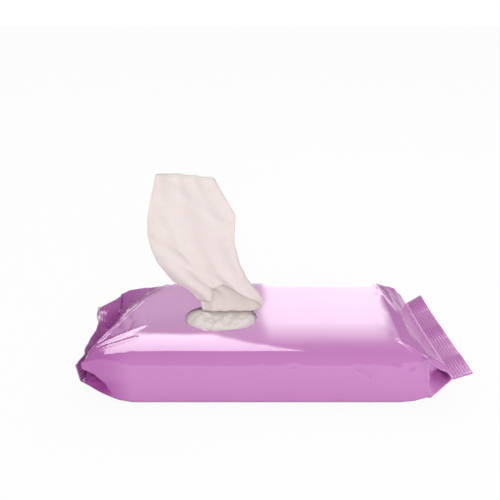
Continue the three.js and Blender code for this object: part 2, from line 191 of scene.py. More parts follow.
# %% Faces and normals of a grid
def grid_faces(rows, cols, wrap=False, first=0):
    faces = []
    for i in range(rows - 1):
        for j in range(cols if wrap else cols - 1):
            k = (j + 1) % cols
            faces.append((first + i * cols + j, first + i * cols + k,
                          first + (i + 1) * cols + k, first + (i + 1) * cols + j))
    return faces


def grid_normals(grid, wrap=False):
    if wrap:
        across = np.roll(grid, -1, axis=1) - np.roll(grid, 1, axis=1)
    else:
        across = np.gradient(grid, axis=1)
    n = np.cross(across, np.gradient(grid, axis=0))
    return n / np.maximum(np.linalg.norm(n, axis=2, keepdims=True), 1e-9)


print("faces between 3 rows of 4 points:", len(grid_faces(3, 4)))


# %% Sheets with a thickness
def slab(grid, thickness):
    n = grid_normals(grid) * thickness / 2
    top, bottom = (grid + n).reshape(-1, 3), (grid - n).reshape(-1, 3)
    r, c = grid.shape[:2]
    under = r * c
    made = grid_faces(r, c)
    made += [tuple(reversed(f)) for f in grid_faces(r, c, first=under)]
    rim = ([(j, j + 1) for j in range(c - 1)]
           + [(i * c + c - 1, (i + 1) * c + c - 1) for i in range(r - 1)]
           + [((r - 1) * c + j + 1, (r - 1) * c + j) for j in range(c - 1)]
           + [((i + 1) * c, i * c) for i in range(r - 1)])
    made += [(b, a, under + a, under + b) for a, b in rim]
    return np.concatenate([top, bottom]), made


def join(parts):
    all_points, all_faces, first = [], [], 0
    for part_points, part_faces in parts:
        all_points.append(part_points)
        all_faces += [tuple(first + k for k in f) for f in part_faces]
        first += len(part_points)
    return np.concatenate(all_points), all_faces


square = np.array([[(0, 0, 0), (1, 0, 0)], [(0, 1, 0), (1, 1, 0)]], float)
print("faces of a square with a thickness:", len(slab(square, 0.1)[1]))


# %% Pieces
def make_piece(name, points, faces, material, nodes, slot):
    mesh = bpy.data.meshes.new(name)
    mesh.from_pydata((np.asarray(points) * 0.001).tolist(), [], faces)
    mesh.update()
    mesh.materials.append(material)
    for polygon in mesh.polygons:
        polygon.use_smooth = True
    piece = bpy.data.objects.new(name, mesh)
    bpy.context.scene.collection.objects.link(piece)
    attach(piece, "root")
    if nodes:
        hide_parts(*nodes)
    return piece


def apply_modifiers(piece):
    bpy.context.view_layer.update()
    graph = bpy.context.evaluated_depsgraph_get()
    mesh = bpy.data.meshes.new_from_object(piece.evaluated_get(graph))
    old = piece.data
    piece.modifiers.clear()
    piece.data = mesh
    bpy.data.meshes.remove(old)
    mesh.name = piece.name


def write_attribute(piece, name, values):
    values = np.asarray(values, dtype=np.float32)
    kind, key = ("FLOAT_VECTOR", "vector") if values.ndim == 2 else ("FLOAT", "value")
    attribute = piece.data.attributes.new(name, kind, "POINT")
    attribute.data.foreach_set(key, values.reshape(-1))


# %% [markdown]
# ## Creases and crumples
# A crease is a low ridge beside a line: its height falls off with the distance from a segment.
# Soft ripples come from fractal noise. Crumpled film has flat facets between sharp lines, and
# the gap between the two nearest cells of a Voronoi pattern looks much like that.

# %% Distance and noise
def near_segment(points, a, b):
    a, b = np.array(a, float), np.array(b, float)
    t = np.clip(((points - a) @ (b - a)) / ((b - a) @ (b - a)), 0, 1)
    return np.linalg.norm(points - (a + t[..., None] * (b - a)), axis=-1)


def ripple_noise(points, scale, seed, octaves=3):
    flat = points.reshape(-1, 3) / scale + seed
    values = [noise.fractal(Vector(p), 1.0, 2.0, octaves) for p in flat]
    return np.array(values).reshape(points.shape[:-1])


def crumple_noise(points, scale, seed):
    values = []
    for p in points.reshape(-1, 3) / scale + seed:
        near, next_near = noise.voronoi(Vector(p))[0][:2]
        values.append(next_near - near)
    return np.array(values).reshape(points.shape[:-1])


print("distance from (0, 1) to a segment along x:",
      near_segment(np.array([0.0, 1.0]), (-1, 0), (1, 0)))

# %% [markdown]
# ## Shader maths
# A small class wraps a socket, so that shader and geometry nodes are written as arithmetic.
# `new_node` makes any other node: its settings are set first, then its sockets get their
# values or links.


# %% Sockets as numbers
class Field:
    def __init__(self, tree, socket):
        self.tree, self.socket = tree, socket

    def _join(self, operation, other, swap=False):
        node = self.tree.nodes.new("ShaderNodeMath")
        node.operation = operation
        pair = (other, self) if swap else (self, other)
        for index, value in enumerate(pair):
            if isinstance(value, Field):
                self.tree.links.new(value.socket, node.inputs[index])
            elif value is not None:
                node.inputs[index].default_value = value
        return Field(self.tree, node.outputs[0])

    def __add__(self, other): return self._join("ADD", other)
    def __radd__(self, other): return self._join("ADD", other)
    def __sub__(self, other): return self._join("SUBTRACT", other)
    def __rsub__(self, other): return self._join("SUBTRACT", other, swap=True)
    def __mul__(self, other): return self._join("MULTIPLY", other)
    def __rmul__(self, other): return self._join("MULTIPLY", other)
    def __truediv__(self, other): return self._join("DIVIDE", other)
    def __rtruediv__(self, other): return self._join("DIVIDE", other, swap=True)
    def most(self, other): return self._join("MAXIMUM", other)
    def angle_to(self, other): return self._join("ARCTAN2", other)
    def sine(self): return self._join("SINE", None)

    def step(self, low, high):
        return new_node(self.tree, "ShaderNodeMapRange", "Result",
                        {"Value": self, "From Min": low, "From Max": high},
                        interpolation_type="SMOOTHSTEP")

    def feeds(self, node, name):
        self.tree.links.new(self.socket, node.inputs[name])


# %% Nodes, colours and materials
def new_node(tree, kind, output, sockets=None, **settings):
    node = tree.nodes.new(kind)
    for name, value in settings.items():
        setattr(node, name, value)
    for name, value in (sockets or {}).items():
        if isinstance(value, Field):
            value.feeds(node, name)
        else:
            node.inputs[name].default_value = value
    return Field(tree, node.outputs[output])


def colour_between(share, first, second):
    node = share.tree.nodes.new("ShaderNodeMix")
    node.data_type = "RGBA"
    sockets = {socket.identifier: socket for socket in node.inputs}
    sockets["A_Color"].default_value = (*first, 1)
    sockets["B_Color"].default_value = (*second, 1)
    share.tree.links.new(share.socket, sockets["Factor_Float"])
    return Field(share.tree, next(o for o in node.outputs if o.type == "RGBA"))


def new_material(name):
    material = bpy.data.materials.new(name)
    material.use_nodes = True
    return material, material.node_tree, material.node_tree.nodes["Principled BSDF"]


# %% [markdown]
# ## Film
# The film is printed violet and has a glossy surface. Patterns of noise on Object coordinates
# have no seams, where an image would need unwrapping. The coat of the Principled shader gives
# sharp reflections over the printed colour. Three attributes of the mesh steer it: `crinkle`
# adds fine crinkles towards the two ends, a painted-shade attribute darkens the colour as
# painted shade in the tucked valleys and over the folded left end, and `dull` takes the gloss
# off the creased slopes.

# %% Film material
# The second colour is painted shade: the film is printed one violet, and this darker tone
# stands in for the shade in the tucks and on the left end.
FILM_LIGHT, FILM_PAINTED_SHADE = (0.56, 0.215, 0.515), (0.38, 0.07, 0.34)


def film_material():
    material, tree, shader = new_material("violet film")
    place = new_node(tree, "ShaderNodeTexCoord", "Object")
    crinkle, painted_shade, dull = [new_node(tree, "ShaderNodeAttribute", "Fac", attribute_name=name)
                           for name in ("crinkle", "painted_shade", "dull")]
    cloud = new_node(tree, "ShaderNodeTexNoise", "Fac",
                     {"Vector": place, "Scale": 24.0, "Detail": 3.0, "Roughness": 0.55})
    fine = new_node(tree, "ShaderNodeTexNoise", "Fac",
                    {"Vector": place, "Scale": 160.0, "Detail": 4.0, "Roughness": 0.6})
    folds = new_node(tree, "ShaderNodeTexVoronoi", "Distance",
                     {"Vector": place, "Scale": 150.0}, feature="DISTANCE_TO_EDGE")
    # Base colour: painted shade darkens the violet print, with a little random cloud tone.
    colour_between(painted_shade * 0.9 + cloud * 0.1, FILM_LIGHT, FILM_PAINTED_SHADE).feeds(shader, "Base Color")
    (fine * 0.03 + dull * 0.22 + 0.08).feeds(shader, "Roughness")
    (1 - dull * 0.9).feeds(shader, "Coat Weight")
    height = folds.step(0.0, 0.12) * crinkle * 0.008 + fine * 0.006 + cloud * 0.05
    bump = new_node(tree, "ShaderNodeBump", "Normal",
                    {"Height": height, "Strength": 0.35, "Distance": 0.0006})
    bump.feeds(shader, "Normal")
    shader.inputs["IOR"].default_value = 1.5
    shader.inputs["Coat Roughness"].default_value = 0.04
    return material


film = film_material()
print("film nodes:", len(film.node_tree.nodes))

# %% [markdown]
# ## Cloth
# A wipe is a soft nonwoven of short fibres, moist and a little see-through. Stretched noise
# gives the fibres, broad noise the wet patches, and some light passes under the surface.

# %% Cloth material
CLOTH_SHADED, CLOTH_LIGHT = (0.76, 0.66, 0.63), (0.89, 0.82, 0.80)


def cloth_material():
    material, tree, shader = new_material("moist nonwoven cloth")
    place = new_node(tree, "ShaderNodeTexCoord", "Object")
    stretched = new_node(tree, "ShaderNodeMapping", "Vector",
                         {"Vector": place, "Scale": (1.0, 1.0, 0.35)})
    fibres = new_node(tree, "ShaderNodeTexNoise", "Fac",
                      {"Vector": stretched, "Scale": 1500.0, "Detail": 3.0, "Distortion": 1.2})
    patches = new_node(tree, "ShaderNodeTexNoise", "Fac",
                       {"Vector": place, "Scale": 60.0, "Detail": 3.0})
    tint = colour_between(patches * 0.7 + fibres * 0.3, CLOTH_SHADED, CLOTH_LIGHT)
    tint.feeds(shader, "Base Color")
    bump = new_node(tree, "ShaderNodeBump", "Normal",
                    {"Height": fibres * 0.7 + patches * 0.5, "Strength": 0.3,
                     "Distance": 0.0004})
    bump.feeds(shader, "Normal")
    shader.inputs["Roughness"].default_value = 0.62
    shader.inputs["Sheen Weight"].default_value = 0.15
    shader.inputs["Subsurface Weight"].default_value = 0.15
    shader.inputs["Subsurface Radius"].default_value = (0.003, 0.0025, 0.002)
    return material


cloth = cloth_material()
print("cloth nodes:", len(cloth.node_tree.nodes))

# %% [markdown]
# ## Film wrap
# The real wrap is one sheet, formed into a tube and folded flat at both ends. It could be a
# block with bevelled edges, but then the gussets would have to be sculpted. Here it is built
# as a solid modeller lofts sections: at each place along the packet an outline runs over the
# top, down the side, into the tucked valley, out round the foot and along the bottom.

# %% Heights along the packet
def share_at(x):
    return np.clip((abs(x) - BODY_END) / END_REACH, 0, 1)


def end_at(x):
    return LEFT if x < 0 else RIGHT


def folds_at(x, side):
    return end_at(x)["back" if side > 0 else "front"]


def root_height(end, v):
    front, middle, back = end["root"]
    return mix(middle, back if v > 0 else front, v * v)


def shoulder_and_foot(x, side):
    s, folds, root = share_at(x), folds_at(x, side), root_height(end_at(x), side)
    return (mix(root + HALF_LAYERS, HEIGHT, along(folds["ridge"], s)),
            mix(0, root - HALF_LAYERS, along(folds["foot"], s)))


def seam_base(x):
    end = end_at(x)
    rise = along(end["front"]["foot"], share_at(x))
    return mix(0, root_height(end, 0) - HALF_LAYERS, rise)


print("bottom seam at the left seal: %.1f mm high" % seam_base(-BODY_END - END_REACH))


# %% Top film
TOP_POINTS = 40


def left_top(x, side, v, ridge):
    low = root_height(LEFT, side * v) + HALF_LAYERS
    level = mix(low, HEIGHT, 1 - fallen_share(x, side * HALF * v))
    return mix(level, ridge, v ** 4) if side < 0 else level


def right_top(x, v, ridge):
    root = root_height(RIGHT, 0) + HALF_LAYERS
    crown = mix(root, HEIGHT, along(RIGHT["crown"], share_at(x)))
    return mix(crown, ridge, v ** 3)


def top_run(x, side, ridge, foot):
    softness = (1 - share_at(x)) ** 1.4 * (ridge - foot) / HEIGHT
    points = []
    for q in np.linspace(0, 1, TOP_POINTS):
        v = 1 - (1 - q) ** 1.5
        level = left_top(x, side, v, ridge) if x < 0 else right_top(x, v, ridge)
        y = side * HALF * v
        points.append((y, float(level - dome(y) * softness)))
    return points


print("top film in the middle of the packet: %.1f mm high" % top_run(0, 1, HEIGHT, 0)[0][1])


# %% Side, with its tuck
EAR_POINTS, TUCK_POINTS, OUT_POINTS = 10, 8, 12
FOOT_CUT, FLAT_CUT = 3.0, 0.3


def run(a, b, n):
    return [(mix(a[0], b[0], t), mix(a[1], b[1], t)) for t in np.linspace(0, 1, n + 1)[1:]]


def side_run(x, side, shoulder, foot, cut):
    s, folds, y = share_at(x), folds_at(x, side), side * HALF
    ear = (y, mix(shoulder, foot, along(folds["ear"], s)))
    valley = mix(shoulder, foot, along(folds["tuck"], s))
    tuck = (y - side * along(folds["valley"], s), valley)
    low = (y, min(foot + cut, mix(valley, foot, 0.6)))
    points = run((y, shoulder), ear, EAR_POINTS) + run(ear, tuck, TUCK_POINTS)
    points += run(tuck, low, OUT_POINTS)
    return points + [(y - side * cut * 0.3, mix(low[1], foot, 0.72)), (y - side * cut, foot)]


print("points down one side:", len(side_run(0, 1, HEIGHT, 0, FOOT_CUT)))


# %% Bottom, with its channel for the seam
def bottom_run(x, side, foot, cut):
    points = []
    for q in np.linspace(0, 1, 16)[1:]:
        y = side * (HALF - cut) * (1 - q)
        base = mix(seam_base(x), foot, (1 - q) ** 3)
        beyond = (abs(y) - SEAM_WIDTH / 2 - CLEARANCE) / SEAM_SLOPE
        points.append((y, base + SEAM_RISE * (1 - np.clip(beyond, 0, 1))))
    return points


print("film above the seam: %.1f mm high" % bottom_run(0, 1, 0, FOOT_CUT)[-1][1])

# %% Skin
SIDE_BULGE, BULGE_TOP, BULGE_FROM = 0.7, 30.0, 44.0


def half_outline(x, side):
    s = share_at(x)
    ridge, foot = shoulder_and_foot(x, side)
    cut = FOOT_CUT * (1 - s) + FLAT_CUT
    top = top_run(x, side, ridge, foot)
    points = top + side_run(x, side, top[-1][1], foot, cut) + bottom_run(x, side, foot, cut)
    bulge = side * SIDE_BULGE * (1 - s)
    return [(y + bulge * math.sin(math.pi * min(1, max(0, z / BULGE_TOP)))
             * smooth((abs(y) - BULGE_FROM) / (HALF - BULGE_FROM)), z) for y, z in points]


def outline(x):
    return half_outline(x, -1) + half_outline(x, 1)[1:-1][::-1]


def skewed(grid, xs):
    for row, x in zip(grid, xs):
        end = end_at(x)
        lean = -row[:, 1] / WIDTH * end["skew"] * smooth(share_at(x))
        row[:, 0] += end["direction"] * lean
    return grid


ends = BODY_END + END_REACH * np.linspace(0, 1, 40)[1:]
stations = np.concatenate([-ends[::-1], np.linspace(-BODY_END, BODY_END, 124), ends])
skin = skewed(np.array([[(x, y, z) for y, z in outline(x)] for x in stations]), stations)
print("skin:", skin.shape[0], "outlines of", skin.shape[1], "points")

# %% [markdown]
# ### Creases
# Film that was bent once keeps a thin raised crease, and it crumples where it is gathered into
# the ends. Both are pushed along the skin's normals, so that they are real geometry and catch
# the light from any side. Creases on the front are lines in space. Creases on the top film are
# drawn in plan, and a mask keeps them off the underside. Each line says how far it reaches and
# how high it is, where a height below 0 is a dent.

# %% Places of the creases
FRONT_CREASES = [
    ((98, -49, 33), (114, -49, 24), 2.5, 1.4),
    ((98, -49, 33), (103, -49, 6), 2.4, 1.2),
    ((98, -49, 33), (90, -49, 24), 2.2, 0.8),
    ((98, -49, 33), (108, -49, 14), 2.0, -0.8),
    ((80, -49, 30), (98, -49, 26), 3.5, -0.6),
    ((-88, -49, 30), (-100, -49, 12), 3.0, 0.8),
    ((55, -49, 28), (64, -49, 22), 2.4, -0.9),
    ((64, -49, 22), (66, -49, 28), 2.0, -0.8),
    ((13, -49, 28), (20, -49, 29), 2.0, -0.6),
    ((-4, -49, 28), (0, -49, 25), 1.8, -0.6),
]
TOP_CREASES = [
    ([(-66.5, 44), (-86.5, 16.5), (-97.8, -15.6), (-105.4, -34.2), (-112, -45)], 1.6, 0.9),
    ([(-73, 48), (-88, 28), (-100, 8), (-106, -6)], 1.5, 0.8),
    ([(-78, -17), (-94.7, -31), (-110, -43)], 1.5, 0.7),
    ([(-83, -32), (-107, -44), (-113, -48)], 1.5, 0.7),
    ([(-92, 30), (-108, 40), (-112, 46)], 1.5, -0.7),
    ([(83.6, 44), (89, 17), (93.4, -3)], 2.2, 0.7),
    ([(84.3, -35), (98.5, -48)], 2.2, 0.8),
    ([(96, 30), (106, 6), (113, -12)], 1.8, 0.6),
]
print("creases:", len(FRONT_CREASES) + len(TOP_CREASES))


# %% Creases pressed into the skin
def crease(spread, reach, height):
    return height * np.clip(1 - spread / reach, 0, 1) ** 1.3


normals = grid_normals(skin, wrap=True)
if normals[len(stations) // 2, 0, 2] < 0:
    normals = -normals
pressed = np.zeros(skin.shape[:2])
for start, finish, reach, height in FRONT_CREASES:
    pressed += crease(near_segment(skin, start, finish), reach, height)
facing_up = smooth((normals[..., 2] - 0.1) / 0.3)
for places, reach, height in TOP_CREASES:
    legs = [near_segment(skin[..., :2], a, b) for a, b in zip(places, places[1:])]
    pressed += facing_up * crease(np.min(legs, axis=0), reach, height)
above = smooth((skin[..., 2] - 1.5) / 3)
pressed += above * 0.16 * ripple_noise(skin, 40.0, 3.0, 2)
gathered = smooth((np.abs(skin[..., 0]) - 68) / 30)
facets = crumple_noise(skin * np.array([1, 0.7, 1]), 13.0, 8.0) - 0.3
pressed += above * gathered * 0.7 * facets
at_seal = smooth((share_at(stations) - 0.9) / 0.1)[:, None]
pressed *= 1 - at_seal
# The tucked valleys of the gussets are marked here, to be darkened later with painted shade.
tuck_shade_mask = np.zeros(skin.shape[:2])
tuck_run = slice(TOP_POINTS + EAR_POINTS, TOP_POINTS + EAR_POINTS + TUCK_POINTS + OUT_POINTS)
tuck_shade_mask[:, tuck_run] = np.clip((48.6 - np.abs(skin[:, tuck_run, 1])) / 4, 0, 1)
skin = skin + normals * pressed[..., None]
print("tallest crease: %.2f mm" % pressed.max())


# %% [markdown]
# ### Hole
# The hole is cut clean through the top film. A boolean on a fine grid leaves slivers, so the
# faces inside the oval are left out, and the points round it are moved onto its outline. The
# two end outlines are closed with one face each, under the seals.

# %% Hole
def hole_value(x, y):
    return (abs((x - HOLE["x"]) / (HOLE["length"] / 2)) ** HOLE["power"]
            + abs((y - HOLE["y"]) / (HOLE["width"] / 2)) ** HOLE["power"])


rows, cols = skin.shape[:2]
points = skin.reshape(-1, 3).copy()
faces = grid_faces(rows, cols, wrap=True)
faces += [tuple(range(cols)), tuple(range(rows * cols - 1, (rows - 1) * cols - 1, -1))]
value = np.where(points[:, 2] > 25, hole_value(points[:, 0], points[:, 1]), 9.0)
faces = [f for f in faces if max(value[k] for k in f) > 1.0]
kept = sorted({k for f in faces for k in f})
for k in kept:
    if value[k] <= 1.0:
        scale = value[k] ** (-1 / HOLE["power"])
        points[k, 0] = HOLE["x"] + (points[k, 0] - HOLE["x"]) * scale
        points[k, 1] = HOLE["y"] + (points[k, 1] - HOLE["y"]) * scale
index = {k: n for n, k in enumerate(kept)}
faces = [tuple(index[k] for k in f) for f in faces]
points, tuck_shade_mask = points[kept], tuck_shade_mask.reshape(-1)[kept]
print("film faces:", len(faces))

# %% [markdown]
# ### Seam and seals
# The bottom seam is a flat lap of film along the underside. Each seal is the two films crimped
# together: it leaves the wrap flat, then turns up and sways a little, as a free edge of film
# does. A plane bent by a modifier would turn up evenly, so its rows are worked out here, each
# with its own tilt. `seal_out` and `seal_up` keep each point's distance from the root and the
# seal's normal there, for the ribs.


# %% Rows of a seal
def seal_grid(end, columns=44, rows_across=72):
    grid, outwards = [], []
    step = (SEAL_WIDTH + SEAL_OVERLAP) / columns
    for v in np.linspace(-1, 1, rows_across):
        tilt = math.radians(mix(end["tilt"][0], end["tilt"][1], (v + 1) / 2))
        x, z = BODY_END + END_REACH - SEAL_OVERLAP, root_height(end, v)
        sway = 0.9 * math.sin(v * 7.5 + 0.6) + 0.35 * math.sin(v * 17)
        lean = -(v * HALF) / WIDTH * end["skew"]
        row = []
        for j in range(columns + 1):
            out = j * step
            angle = tilt * smooth((out - SEAL_OVERLAP) / SEAL_TURN)
            if j:
                x += step * math.cos(angle)
                z += step * math.sin(angle)
            bend = sway * (out / SEAL_WIDTH) ** 1.5
            pulled = end["corner"] * smooth((v - 0.3) / 0.7) * min(out / SEAL_WIDTH, 1)
            raised = end["corner"] * smooth((v - 0.62) / 0.38) * max(1 - out / SEAL_WIDTH, 0)
            px = x - bend * math.sin(angle) + 0.4 * pulled + lean
            row.append((end["direction"] * px, v * HALF, z + bend * math.cos(angle) + raised))
        grid.append(row)
        outwards.append([j * step for j in range(columns + 1)])
    return np.array(grid), np.array(outwards)


print("seal points:", seal_grid(RIGHT)[1].size)

# %% Seam, seals and wrap
SEAM_SHEET, SEAL_SHEET = 0.5, 0.45
seam_grid = []
for x in stations[np.abs(stations) < BODY_END + END_REACH * 0.97]:
    seam_grid.append([(x, y, seam_base(x) + 0.55 + 0.12 * math.sin(y * 2.4))
                      for y in np.linspace(-SEAM_WIDTH / 2, SEAM_WIDTH / 2, 13)])
smooth_parts = join([(points, faces), slab(np.array(seam_grid), SEAM_SHEET)])
seal_parts = []
seal_out = [np.zeros(len(smooth_parts[0]))]
seal_up = [np.zeros_like(smooth_parts[0])]
for end in (LEFT, RIGHT):
    grid, outwards = seal_grid(end)
    seal_parts.append(slab(grid, SEAL_SHEET))
    seal_out += [outwards.reshape(-1)] * 2
    seal_up += [grid_normals(grid).reshape(-1, 3)] * 2
wrap_points, wrap_faces = join([smooth_parts] + seal_parts)
wrap = make_piece("film_wrap_skin", wrap_points, wrap_faces, film, ["film_wrap"], "film")
write_attribute(wrap, "seal_out", np.concatenate(seal_out))
write_attribute(wrap, "seal_up", np.concatenate(seal_up))
print("wrap faces:", len(wrap_faces))

# %% Where the film is crinkled, darkened by painted shade, and dull
wrap_x, wrap_y, wrap_z = wrap_points.T
crinkle = smooth((np.abs(wrap_x) - 72) / 30)
# Painted shade: the colour darkens over the left end, less towards its top, and in the tucked
# valleys.
painted_shade = smooth((-wrap_x - 82) / 20) * (1 - 0.4 * smooth((wrap_z - 14) / 8))
painted_shade[:len(tuck_shade_mask)] = np.maximum(painted_shade[:len(tuck_shade_mask)], tuck_shade_mask * 0.8)
right_slope = smooth((wrap_x - 84) / 12) * smooth((wrap_y + 50) / 8)
dull = np.maximum(0.85 * right_slope, 0.4 * smooth((-wrap_x - 96) / 12))
for name, values in (("crinkle", crinkle), ("painted_shade", painted_shade), ("dull", dull)):
    write_attribute(wrap, name, values)
    print("mean of %s: %.2f" % (name, values.mean()))

# %% [markdown]
# ### Ribs of the seals
# The crimping jaws leave fine ribs along each seal. They repeat by a rule, so Geometry Nodes
# make them: a sine wave of `seal_out` lifts each point along `seal_up`. Both are 0 on the rest
# of the wrap, which stays as it is.


# %% Tree of the ribs
def rib_tree():
    tree = bpy.data.node_groups.new("crimped ribs", "GeometryNodeTree")
    ports = tree.interface
    ports.new_socket("Geometry", in_out="INPUT", socket_type="NodeSocketGeometry")
    for name in ("Rib Pitch", "Rib Height", "First Rib"):
        ports.new_socket(name, in_out="INPUT", socket_type="NodeSocketFloat")
    ports.new_socket("Film", in_out="INPUT", socket_type="NodeSocketMaterial")
    ports.new_socket("Geometry", in_out="OUTPUT", socket_type="NodeSocketGeometry")
    given = tree.nodes.new("NodeGroupInput")
    shape, pitch, height, first, skin_material = [Field(tree, given.outputs[name]) for name in (
        "Geometry", "Rib Pitch", "Rib Height", "First Rib", "Film")]
    out = new_node(tree, "GeometryNodeInputNamedAttribute", "Attribute", {"Name": "seal_out"})
    up = new_node(tree, "GeometryNodeInputNamedAttribute", "Attribute", {"Name": "seal_up"},
                  data_type="FLOAT_VECTOR")
    wave = (out * (2 * math.pi) / pitch).sine() * height * (out - first).step(0.0, 1.0)
    offset = new_node(tree, "ShaderNodeVectorMath", "Vector", {"Vector": up, "Scale": wave},
                      operation="SCALE")
    moved = new_node(tree, "GeometryNodeSetPosition", "Geometry",
                     {"Geometry": shape, "Offset": offset})
    whole = new_node(tree, "GeometryNodeRealizeInstances", "Geometry", {"Geometry": moved})
    dressed = new_node(tree, "GeometryNodeSetMaterial", "Geometry",
                       {"Geometry": whole, "Material": skin_material})
    dressed.feeds(tree.nodes.new("NodeGroupOutput"), "Geometry")
    return tree


# %% Ribs made, and the wrap turned into a plain mesh
RIB_PITCH, FIRST_RIB = 1.8, 1.6
RIB_HEIGHT_IN_METRES = 0.00004


def set_inputs(modifier, **values):
    for item in modifier.node_group.interface.items_tree:
        key = item.name.replace(" ", "_").lower()
        if item.in_out == "INPUT" and key in values:
            modifier[item.identifier] = values[key]


ribs = wrap.modifiers.new("crimped ribs", "NODES")
ribs.node_group = rib_tree()
set_inputs(ribs, rib_pitch=RIB_PITCH, rib_height=RIB_HEIGHT_IN_METRES, first_rib=FIRST_RIB,
           film=film)
apply_modifiers(wrap)
print("wrap points:", len(wrap.data.vertices))

# %% [markdown]
# ## Wipes
# The stack is interfolded: odd wipes fold at the back and even ones at the front, and each
# fold holds half of the next wipe, so that drawing one up brings the next. Each half of a wipe
# has a layer of its own, counted from the top.

# %% Layers of the stack
TOP_LAYER, BOTTOM_LAYER = 38.7, 2.1
HALF_WIPE = 0.3
PITCH = (TOP_LAYER - BOTTOM_LAYER) / (2 * WIPE_COUNT - 1)


def upper_layer(wipe):
    return 0 if wipe == 1 else 2 * wipe - 3


def lower_layer(wipe):
    return 2 * wipe - 1 if wipe == WIPE_COUNT else 2 * wipe


def room_at(height):
    under_film = HEIGHT - FILM_THICKNESS - CLEARANCE - height
    t = math.sqrt(min(1, max(0, under_film / SHOULDER_RADIUS)))
    return HALF - FILM_THICKNESS - 2 * CLEARANCE - SHOULDER_RADIUS * (1 - t) ** 2


def fold_reach(wipe):
    return room_at(TOP_LAYER - upper_layer(wipe) * PITCH + HALF_WIPE) - HALF_WIPE


print("pitch of the layers: %.2f mm" % PITCH)

# %% [markdown]
# ### Folded wipes
# One function lays the profile of any folded wipe: from its hem along the lower layer, round
# the fold, and back along the upper layer. Another draws it out along X, with soft waves and
# hems that aren't quite even, and lets it settle with the film.

# %% Profile of a folded wipe
CLOTH_SHEET = 0.45


def folded_profile(wipe, steps):
    side = 1 if wipe % 2 else -1
    above = max(1, wipe - 1)
    upper = TOP_LAYER - upper_layer(wipe) * PITCH
    lower = TOP_LAYER - lower_layer(wipe) * PITCH
    radius = (upper - lower) / 2
    above_radius = (lower_layer(above) - upper_layer(above)) * PITCH / 2
    hem = -side * (fold_reach(above) - above_radius - HEM_SETBACK)
    start = side * (fold_reach(wipe) - radius)
    lower_run = [(y, lower) for y in np.linspace(hem, start, steps)[:-1]]
    bend = [(start + side * radius * math.cos(a), (upper + lower) / 2 + radius * math.sin(a))
            for a in np.linspace(-math.pi / 2, math.pi / 2, 9)]
    upper_run = [(y, upper) for y in np.linspace(start, hem, steps)[1:]]
    return lower_run, bend, upper_run


def settled(grid):
    grid[..., 2] *= settle(grid[..., 0], grid[..., 1])
    return grid


def wipe_piece(name, grid, node):
    made = slab(grid, CLOTH_SHEET)
    piece = make_piece(name, *made, cloth, [node], "wipe")
    return piece


# %% Seventeen folded wipes
def folded_wipe(wipe):
    lower_run, bend, upper_run = folded_profile(wipe, 16)
    xs = np.linspace(-WIPE_LENGTH / 2, WIPE_LENGTH / 2, 40)
    grid = np.array([[(x, y, z) for x in xs] for y, z in lower_run + bend + upper_run])
    grid[..., 0] *= 1 - 0.004 * math.sin(wipe * 2.1)
    grid[..., 1] *= 1 - 0.01 * (1 + np.sin(grid[..., 0] * 0.05 + wipe)) / 2
    name = "folded_wipe_%02d" % wipe
    return wipe_piece(name + "_cloth", settled(grid), name)


for wipe in range(3, WIPE_COUNT + 1):
    folded_wipe(wipe)
print("folded wipes:", WIPE_COUNT - 2)


# %% [markdown]
# ### Second wipe
# It is still folded, but the pull of the first wipe has lifted and rumpled it under the hole.
# The rumples are waves, crumples and a heap on the left. One mask keeps them under the hole,
# and another ends them in front of the first wipe, which rises there.

# %% Second wipe
def rumples(x, y, places):
    waves = (0.5 + 0.5 * np.sin(x * 0.33 + y * 0.21) * np.cos(y * 0.42 - x * 0.12)
             + 0.25 * np.sin(x * 0.8 - y * 0.5) + 0.15 * np.sin(y * 1.1 + x * 0.3))
    crumple = crumple_noise(places * np.array([1, 1.2, 0]), 7.0, 2.0)
    left_heap = np.exp(-((x + 46) / 8) ** 2 - ((y + 8) / 10) ** 2)
    return 0.4 + 2.1 * np.clip(waves, 0, 1) + 1.8 * crumple + 2.4 * left_heap


def lifted_wipe():
    lower_run, bend, upper_run = folded_profile(2, 60)
    xs = np.linspace(-WIPE_LENGTH / 2, WIPE_LENGTH / 2, 170)
    lower = settled(np.array([[(x, y, z) for x in xs] for y, z in lower_run + bend]))
    upper = settled(np.array([[(x, y, z) for x in xs] for y, z in upper_run]))
    x, y = upper[..., 0], upper[..., 1]
    under_hole = smooth(1.25 - 1.1 * hole_value(x, y))
    clear = 1 - smooth((y + 3.5) / 3.0)
    upper[..., 2] += under_hole * clear * rumples(x, y, upper)
    grid = np.concatenate([lower, upper])
    return wipe_piece("lifted_wipe_cloth", grid, "lifted_wipe")


second_wipe = lifted_wipe()
print("second wipe faces:", len(second_wipe.data.polygons))

# %% [markdown]
# ### First wipe
# Its lower half still lies folded in the stack. Its upper half is gathered at the hole, rises
# leaning left, turns over at the top and hangs down in front as an arched hem. All of it is one
# sheet, so it is one grid: the lying rows, a fan towards the hole, the rise and the fall.

# %% Edges of the rise
NECK_LEFT, NECK_RIGHT, NECK_Y = -43.0, -11.0, 1.5
DRAWN_HEIGHT = 94.0
PINCH_SHARE, PANEL_GAP = 0.72, 7.0
LEFT_EDGE = [(0, -43), (0.07, -44), (0.15, -50), (0.24, -61), (0.37, -71), (0.55, -77.5),
             (0.7, -77), (0.85, -74), (1, -70)]
RIGHT_EDGE = [(0, -11), (0.02, -4), (0.08, -1), (0.16, -5), (0.28, -12.5), (0.38, -17),
              (0.54, -21), (0.74, -20), (0.89, -28), (1, -34)]
ARCH = [(0, 0.06), (0.2, 0.06), (0.4, 0.17), (0.6, 0.19), (0.8, 0.1), (1, 0.01)]


def gathers(u):
    return np.sin(u * math.pi * 7) * 0.6 + np.sin(u * math.pi * 3 + 1) * 0.4


